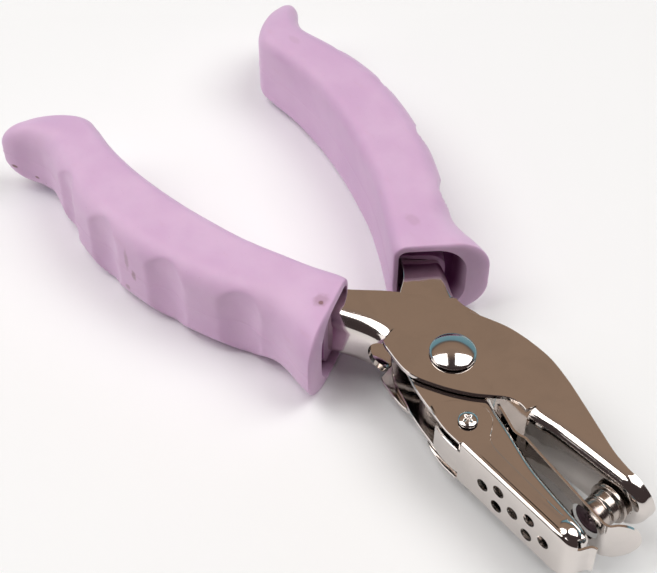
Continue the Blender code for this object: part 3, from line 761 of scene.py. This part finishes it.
def punch_pin(material):
    """Hollow-ended punch, neck, collar, flange against the web, and a tail peened over it."""
    face = PUNCH_WEB_AT_PIN - PIN_TIP_Y
    flange = face - 0.75
    tail = face + LEVER_SHEET + 0.75
    profile = [(0, 0.75), (0.28, 0.72), (0.42, 0.35), (0.8, 0.28), (1.3, 0.42), (2.4, 0.1),
               (3.0, 0.0), (3.13, 0.12), (3.12, 1.2), (3.08, 2.4), (2.92, 2.6), (2.92, 2.9),
               (3.2, 3.1), (3.28, 3.25), (3.28, flange - 1.0), (3.4, flange - 0.9),
               (4.0, flange - 0.8), (4.1, flange - 0.7), (4.1, flange), (1.5, flange),
               (1.5, tail), (2.5, tail), (2.2, tail + 0.6), (0, tail + 0.8)]
    bm = turned(rounded_profile(profile, 0.14))
    face_outwards(bm)
    oil = bm.verts.layers.float.new("oil")
    for vert in bm.verts:
        vert[oil] = smooth_step(1.2, 0.3, vert.co.z)
    bm.transform(Matrix.Translation((PIN_X, PIN_TIP_Y, 0)) @ Matrix.Rotation(radians(-90), 4, "X"))
    finish_mesh("punch_pin_turned", bm, material, "punch_side", ["punch_pin"], 50)


# ---------------------------------------------------------------- chip cover


def chip_cover(material):
    """Pressed cover: chip holes, rear tongue, snap dimples, drawn nose and flared front lip."""
    hinge_x, hinge_y = COVER_HINGE
    web_y = -13.1
    lobe = [(hinge_x + 4.7 * cos(radians(a)), hinge_y + 4.7 * sin(radians(a)))
            for a in (118, 88, 58, 30)]
    stations = [((6.6, -11.7), (6.4, -10.6)), ((9.0, -12.5), (8.2, -7.2)),
                ((12.6, web_y), lobe[0]), ((16.4, web_y), lobe[1]),
                ((18.0, web_y), lobe[2]), ((19.4, web_y), lobe[3]),
                ((20.8, web_y), (19.1, -7.95)), ((22.6, web_y), (21.6, -8.75)),
                ((30.0, web_y), (29.0, -9.1)), ((38.0, web_y), (38.0, -9.3)),
                ((41.4, web_y), (41.4, -9.4)), ((43.6, -12.8), (43.4, -9.4)),
                ((45.1, -11.6), (44.6, -9.3)), ((45.8, -10.0), (45.2, -8.6)),
                ((46.2, -9.1), (45.6, -8.2)), ((47.0, -8.6), (46.6, -7.9))]
    steps = 12
    both = catmull([(*web, *edge) for web, edge in stations], steps)
    web_line = [(p[0], p[1]) for p in both]
    edge_line = [(p[2], p[3]) for p in both]
    tongue_start, slot_end, lip_start = steps, 3 * steps, 12 * steps
    inwards = inward_normals(web_line, edge_line)
    sections = []
    for index, (web, edge) in enumerate(zip(web_line, edge_line)):
        bend = COVER_BEND if index >= slot_end else 0.0
        if web[0] > 42.5:
            bend = COVER_BEND + 0.5 * smooth_step(42.5, 45.0, web[0])
        half = COVER_HALF - 0.2 * max(0.0, web[0] - 42.0)
        sections.append(section(web, edge, inwards[index], half, bend, COVER_SHEET, COVER_STEPS))
    columns = len(sections[0]) - 1
    wall_cells = COVER_STEPS[1] + 1
    web_first = wall_cells + COVER_STEPS[0]
    web_last = columns - web_first

    def present(i, k):
        on_web = web_first <= k < web_last
        if i < slot_end:
            if on_web:
                on_tongue = all(abs(sections[i][n][0].z) <= 3.75 for n in (k, k + 1))
                return i >= tongue_start and on_tongue
            return k < wall_cells or k >= columns - wall_cells
        return on_web or i < lip_start

    bm = pressed_sheet(sections, present, 0.19)
    holes = []
    for row in range(5):
        for z in ((0,) if row % 2 == 0 else (-2.35, 2.35)):
            holes.append(((23.0 + row * 3.9, web_y, z), (0, 1, 0), 1.35))
    cutters = [cylinder(radius, centre, axis, 2, 48) for centre, axis, radius in holes]
    cutters.append(cylinder(HINGE_HOLE_RADIUS, (*COVER_HINGE, 0), (0, 0, 1), 9))
    bm = cut(bm, cutters)
    soften_holes(bm, holes, 0.08)
    face_outwards(bm)
    for vert in bm.verts:
        x, y, z = vert.co
        if abs(z) > 4.4:
            dimple = 0.45 * max(0.0, 1 - ((x - 42.0) / 2.3)**2 - ((y + 10.6) / 1.5)**2)**0.7
            crease = 0.10 * smooth_step(33.5, 35.5, x) * smooth_step(40.5, 38.8, x)
            crease *= max(0.0, 1 - abs((y + 9.9) - 0.03 * (x - 36)) / 0.45)
            vert.co.z += (dimple + crease) * (1 if z > 0 else -1)
    finish_pressing("chip_cover_pressed", bm, material, "cover", ["chip_cover"])


# ---------------------------------------------------------------- spring


def return_spring(material):
    """Torsion coil round the pivot, with one straight leg along each handle."""
    turns, wire, radius, leg_steps, around = 4, 1.1, 5.0, 14, 16
    height = turns * (wire + 0.25)
    start, end = radians(172), radians(188) - radians(360) * turns
    line = []
    count = 48 * turns
    for step in range(count + 1):
        t = step / count
        a = start + (end - start) * t
        line.append(Vector((radius * cos(a), radius * sin(a), height * (t - 0.5))))
    first, last = line[0], line[-1]
    die_foot, punch_foot = Vector((-13.0, 8.2, first.z)), Vector((-15.0, -6.0, last.z))
    line = [die_foot.lerp(first, s / leg_steps) for s in range(leg_steps)] + line
    line += [last.lerp(punch_foot, s / leg_steps) for s in range(1, leg_steps + 1)]
    bm = bmesh.new()
    rings = []
    for index, spot in enumerate(line):
        along = (line[min(index + 1, len(line) - 1)] - line[max(index - 1, 0)]).normalized()
        side = along.cross(Vector((0, 0, 1))).normalized()
        up = side.cross(along)
        rings.append([bm.verts.new(spot + side * wire / 2 * cos(2 * pi * n / around)
                                   + up * wire / 2 * sin(2 * pi * n / around))
                      for n in range(around)])
    skin_rings(bm, rings)
    bm.faces.new(list(reversed(rings[0])))
    bm.faces.new(rings[-1])
    face_outwards(bm)
    item = row_object("return_spring_coil", bm, material, 50)
    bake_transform(item)
    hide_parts("return_spring")


# ---------------------------------------------------------------- grips

# Inner u and v, outer u and v, half height, from the mouth to the hooked end.
GRIP_SECTIONS = [
    (25.6, 5.8, 14.8, 23.2, 10.2), (27.6, 6.5, 18.6, 23.5, 10.3),
    (33.0, 9.4, 27.5, 23.6, 10.1), (39.0, 12.6, 34.5, 26.8, 10.5),
    (47.0, 16.2, 43.0, 31.0, 10.5), (55.0, 18.8, 52.0, 34.4, 10.5),
    (63.0, 21.0, 61.0, 36.8, 10.5), (72.0, 22.8, 71.0, 38.3, 10.5),
    (80.0, 23.7, 80.5, 38.2, 10.3), (88.0, 23.8, 89.5, 36.7, 10.0),
    (95.0, 23.1, 97.5, 35.3, 9.6), (99.5, 23.2, 102.5, 36.8, 9.2),
    (104.0, 26.4, 106.5, 39.4, 8.4), (107.8, 31.0, 109.4, 40.4, 6.8),
    (110.2, 35.0, 110.6, 39.6, 3.6)]
FINGER_HOLLOWS = [(34.4, 4.6), (50.9, 5.0), (68.8, 5.0), (85.0, 4.7)]    # middle u, half length
PARTING_HALF, PARTING_HEIGHT = 0.30, 0.10


def round_box(width, half, inner_radius, outer_radius):
    """Ring of (across, z, outwardness) round a grip section, always with the same count.

    The flat sides' points crowd together at the parting line, half way up.
    """
    limit = min(width, 2 * half) / 2 - 0.05
    ri, ro = min(inner_radius, limit), min(outer_radius, limit)
    arc, top = 12, 14
    upper = [0.025, 0.05, 0.12, 0.26, 0.42, 0.6, 0.8, 1.0]
    flat = [-share for share in reversed(upper)] + [0.0] + upper
    points = []

    def corner(across, z, radius, first):
        for step in range(1, arc):
            a = radians(first + 90 * step / arc)
            points.append((across + radius * cos(a), z + radius * sin(a), cos(a)))

    for share in flat:
        points.append((width, share * (half - ro), 1.0))
    corner(width - ro, half - ro, ro, 0)
    for step in range(top + 1):
        points.append((width - ro + (ri - (width - ro)) * step / top, half, 0.0))
    corner(ri, half - ri, ri, 90)
    for share in reversed(flat):
        points.append((0.0, share * (half - ri), -1.0))
    corner(ri, -half + ri, ri, 180)
    for step in range(top + 1):
        points.append((ri + (width - ro - ri) * step / top, -half, 0.0))
    corner(width - ro, -half + ro, ro, 270)
    return points


def hollow_depth(along, z):
    """How deep a finger hollow is: steep at its two arched ends, soft-sided between them.

    along is the way from its middle, from -1 to 1.
    """
    straight, arch, depth = 3.4, 5.8, 1.55
    rise = max(0.0, abs(z) - straight) / arch
    level = max(0.0, 1 - along**2 - rise**2)
    return depth * level**(0.55 + 0.85 * smooth_step(7.0, 1.5, abs(z)))


def grip_ring(values, side, radii=(3.0, 5.0), marks=True):
    """Design points of one ring round the grip, from values like those of GRIP_SECTIONS.

    radii are of its inner and outer corners; marks adds finger hollows and parting line.
    """
    inner_u, inner_v, outer_u, outer_v, half = values
    start = Vector((inner_u, inner_v))
    outwards = Vector((outer_u, outer_v)) - start
    width = outwards.length
    outwards.normalize()
    ring = []
    for across, z, outness in round_box(width, min(half, 10.5), *radii):
        if marks and outness > 0:
            for middle, half_length in FINGER_HOLLOWS:
                across -= hollow_depth((outer_u - middle) / half_length, z) * outness**0.3
        if marks and abs(z) < PARTING_HALF and abs(outness) == 1.0:
            across += outness * PARTING_HEIGHT * (1 - abs(z) / PARTING_HALF)
        spot = start + outwards * across
        ring.append(Vector((*handle_point(spot.x, spot.y, side), z)))
    return ring


def between(a, b, share):
    return tuple(p + (q - p) * share for p, q in zip(a, b))


def grip(name, side, lever_half, lever_bend, body, material):
    """Outer skin from the hooked end to the mouth, then the hollow and the sleeve round the lever."""
    curve = catmull(GRIP_SECTIONS, 14)
    bm = bmesh.new()
    layer = bm.verts.layers.float.new("cavity")
    loops = []

    def add(places, dark=0.0):
        """A ring of vertices, with painted shade in the mouth's cavity."""
        loop = [bm.verts.new(place) for place in places]
        for vert in loop:
            vert[layer] = dark
        loops.append(loop)

    def add_between(first, last, share, radii, dark):
        add(grip_ring(between(first, last, share), side, radii, marks=False), dark)

    tip = curve[-1]
    centre = Vector((*handle_point((tip[0] + tip[2]) / 2, (tip[1] + tip[3]) / 2, side), 0.0))
    for share in (0.25, 0.55, 0.82):
        add([centre.lerp(place, share) for place in grip_ring(tip, side, marks=False)])
    for values in reversed(curve[6:]):
        add(grip_ring(values, side, (3.0, 5.0 + 2.8 * smooth_step(36.0, 20.0, values[2]))))
    mouth, back = curve[0], curve[5]
    opening = (25.2, 6.6, 17.5, 18.6, 8.9)
    shoulder = 16
    for step in range(shoulder + 1):
        a = step / shoulder * pi / 2
        share = 1 - cos(a)
        out = between(back, opening, share)
        fade = (0.75 * cos(a), 0.75 * cos(a), 1 - 0.9 * share, cos(a))
        flared = [o + (m - b) * sin(a) * f for o, m, b, f in zip(out, mouth, back, fade)]
        add(grip_ring((*flared, out[4]), side, (3.0 - share, 7.8 - 1.4 * share), marks=False))
    hollow_end = (30.3, 8.4, 23.6, 19.9, 8.3)
    # From here on, the last value of each ring is its painted shade: none at the opening, full deep
    # inside.
    for step in range(1, 10):
        add_between(opening, hollow_end, step / 9, (1.8, 6.2), smooth_step(0.0, 0.7, step / 9))
    sleeve_root = (30.4, 8.6, 25.2, 18.4, lever_half + 1.5)
    sleeve_lip = (26.7, 7.1, 20.9, 15.6, lever_half + 1.3)
    inner_lip = (27.2, 7.35, 22.3, 13.2, lever_half + 0.15)
    inner_end = (34.0, 12.0, 30.0, 18.6, lever_half + 0.12)
    for step in range(7):
        add_between(sleeve_root, sleeve_lip, step / 6, (1.2, 3.6), 1.0 - 0.25 * step / 6)
    for share in (0.35, 0.7, 1.0):
        add_between(sleeve_lip, inner_lip, share, (0.8, lever_bend), 0.70 - 0.35 * share)
    for step in range(1, 6):
        add_between(inner_lip, inner_end, step / 5, (0.6, lever_bend), 0.6)
    skin_rings(bm, loops)
    for loop, dark in ((loops[0], 0.0), (loops[-1], 1.0)):
        hub = bm.verts.new(sum((vert.co for vert in loop), Vector()) / len(loop))
        hub[layer] = dark
        for n, vert in enumerate(loop):
            bm.faces.new((vert, loop[(n + 1) % len(loop)], hub))
    face_outwards(bm)
    finish_mesh(name + "_moulded", bm, material, body, [name], 60)


# ---------------------------------------------------------------- build

nickel = nickel_material("nickel_plate")
nickel_cover = nickel_material("nickel_cover_plate", grain=0.3)
nickel_rivet = nickel_material("nickel_rivet", rough=0.08, waves=0.2)
pin_steel = steel_material("turned_pin_steel", (0.50, 0.44, 0.40), 0.16, (900.0, 9000.0, 900.0))
spring_steel = steel_material("drawn_spring_steel", (0.42, 0.39, 0.37), 0.24)
inner_steel = steel_material("sleeve_steel", (0.45, 0.43, 0.41), 0.3)

punch_lever(nickel)
die_lever(nickel)
stripper_plate(nickel)
pivot_rivet(nickel_rivet)
cover_rivet(nickel_rivet)
punch_pin(pin_steel)
chip_cover(nickel_cover)
return_spring(spring_steel)


# Marks on the grips: u, v, z, radii in millimetres, strength.
PUNCH_MARKS = [(22.7, 14.8, 10.2, (0.7, 0.7, 1.2), 0.75), (23.2, 14.4, 10.2, (1.9, 2.2, 2.0), 0.30),
               (61.1, 36.2, 3.4, (0.8, 2.2, 3.6), 0.30), (59.4, 35.8, -0.2, (0.9, 2.2, 1.9), 0.45),
               (61.9, 36.2, -5.4, (1.1, 2.2, 1.1), 0.40), (106.9, 39.6, -3.0, (1.1, 1.1, 0.5), 0.85),
               (102.1, 36.8, -4.6, (0.8, 0.8, 0.5), 0.85), (100.0, 36.1, -5.4, (0.5, 0.6, 0.5), 0.80)]
DIE_MARKS = [(30.0, 14.0, 10.3, (2.4, 1.6, 1.5), 0.13), (93.0, 29.0, 9.6, (2.6, 1.2, 1.5), 0.09)]

for name, side, lever_half, lever_bend, body, marks in (
        ("punch_grip", -1, PUNCH_HALF, 3.0, "punch_side", PUNCH_MARKS),
        ("die_grip", 1, DIE_HALF, DIE_BEND, "die_side", DIE_MARKS)):
    spots = [((*handle_point(u, v, side), z), radii, share) for u, v, z, radii, share in marks]
    grip(name, side, lever_half, lever_bend, body, rubber_material("lilac_rubber_" + body, spots))

for node, material in (("pivot_sleeve", inner_steel), ("stripper_rivet", nickel_rivet)):
    item = frame["nodes"][node]
    item.data.materials.clear()
    item.data.materials.append(material)

# ---------------------------------------------------------------- floor, light, camera


def floor():
    bm = bmesh.new()
    bmesh.ops.create_grid(bm, x_segments=8, y_segments=8, size=3.0)
    item = mesh_object("floor", bm)
    item.location.z = -0.00005
    material = bpy.data.materials.new("pale_floor")
    t = Tree(material)
    t.put(t.shader, "Base Color", t.mix(t.noise(14.0, 3.0), (0.945, 0.955, 0.96), (0.955, 0.965, 0.97)))
    t.shader.inputs["Roughness"].default_value = 0.75
    t.shader.inputs["Specular IOR Level"].default_value = 0.2
    item.data.materials.append(material)


VIEW_RIGHT = Vector((0.629, 0.777, 0.0))


def soft_box(name, direction, distance, width, height, watts, colour):
    """Rectangular light aimed at the pivot, its width square to the line of sight."""
    light = bpy.data.lights.new(name, "AREA")
    light.shape = "RECTANGLE"
    light.size, light.size_y = width, height
    light.energy = watts
    light.color = colour
    item = scene_object(name, light)
    z = Vector(direction).normalized()
    x = (VIEW_RIGHT - z * VIEW_RIGHT.dot(z)).normalized()
    item.rotation_euler = Matrix((x, z.cross(x), z)).transposed().to_euler()
    item.location = PIVOT + z * distance


# What the nickel reflects, from the horizon up: blue-green, a dark band, then warm brown.
ROOM = [(0.0, (0.40, 0.52, 0.56)), (0.05, (0.24, 0.43, 0.50)), (0.42, (0.17, 0.34, 0.41)),
        (0.50, (0.13, 0.11, 0.10)), (0.60, (0.31, 0.215, 0.155)), (0.80, (0.345, 0.245, 0.18)),
        (0.92, (0.30, 0.22, 0.17)), (1.0, (0.30, 0.22, 0.17))]
DIM_SIDE = (0.06, 0.045, 0.045)


def studio():
    """Two boxes above, one low at the side, and a room that is dim on one side."""
    soft_box("key_box_left", (-0.40, -0.40, 0.93), 0.9, 0.66, 0.52, 4.4, (1.0, 0.99, 0.98))
    soft_box("key_box_right", (0.27, 0.42, 0.93), 0.9, 0.66, 0.52, 4.4, (1.0, 0.99, 0.98))
    soft_box("side_box", (-0.50, -0.78, 0.36), 1.0, 0.6, 0.45, 1.15, (1.0, 0.98, 0.97))
    world = bpy.data.worlds.new("studio_world")
    bpy.context.scene.world = world
    t = Tree(world, "Background", "Generated")
    split = t.nodes.new("ShaderNodeSeparateXYZ")
    t.put(split, 0, t.position)
    ramp = t.nodes.new("ShaderNodeValToRGB")
    ramp.color_ramp.elements[0].position = ROOM[0][0]
    ramp.color_ramp.elements[1].position = ROOM[-1][0]
    for position, _ in ROOM[1:-1]:
        ramp.color_ramp.elements.new(position)
    for element, (_, colour) in zip(ramp.color_ramp.elements, ROOM):
        element.color = (*colour, 1.0)
    t.put(ramp, 0, split.outputs["Z"])
    lit_side = t.vector("DOT_PRODUCT", t.position, (-0.78, 0.63, 0.0))
    t.put(t.shader, "Color", t.mix(t.span(lit_side, -0.05, 0.40), DIM_SIDE, ramp.outputs[0]))
    t.put(t.shader, "Strength", 1.0)


def camera():
    """At the photograph's viewing angle: 48 degrees down, 51 degrees round."""
    elevation, azimuth, distance = radians(48), radians(90 + 51), 0.270
    forward = Vector((cos(azimuth) * cos(elevation), sin(azimuth) * cos(elevation), -sin(elevation)))
    right = forward.cross(Vector((0, 0, 1))).normalized()
    up = right.cross(forward)
    aim = PIVOT + Vector((0, 0, 7)) * MM
    data = bpy.data.cameras.new("photo_camera")
    data.sensor_width = 36.0
    data.lens = 76.93
    data.clip_start = 0.01
    data.clip_end = 20.0
    item = scene_object("photo_camera", data)
    item.location = aim - (forward + right * 0.08868 - up * 0.04594) * distance
    item.rotation_euler = Matrix((right, up, -forward)).transposed().to_euler()
    bpy.context.scene.camera = item


floor()
studio()
camera()
bpy.context.scene.view_settings.view_transform = "Standard"
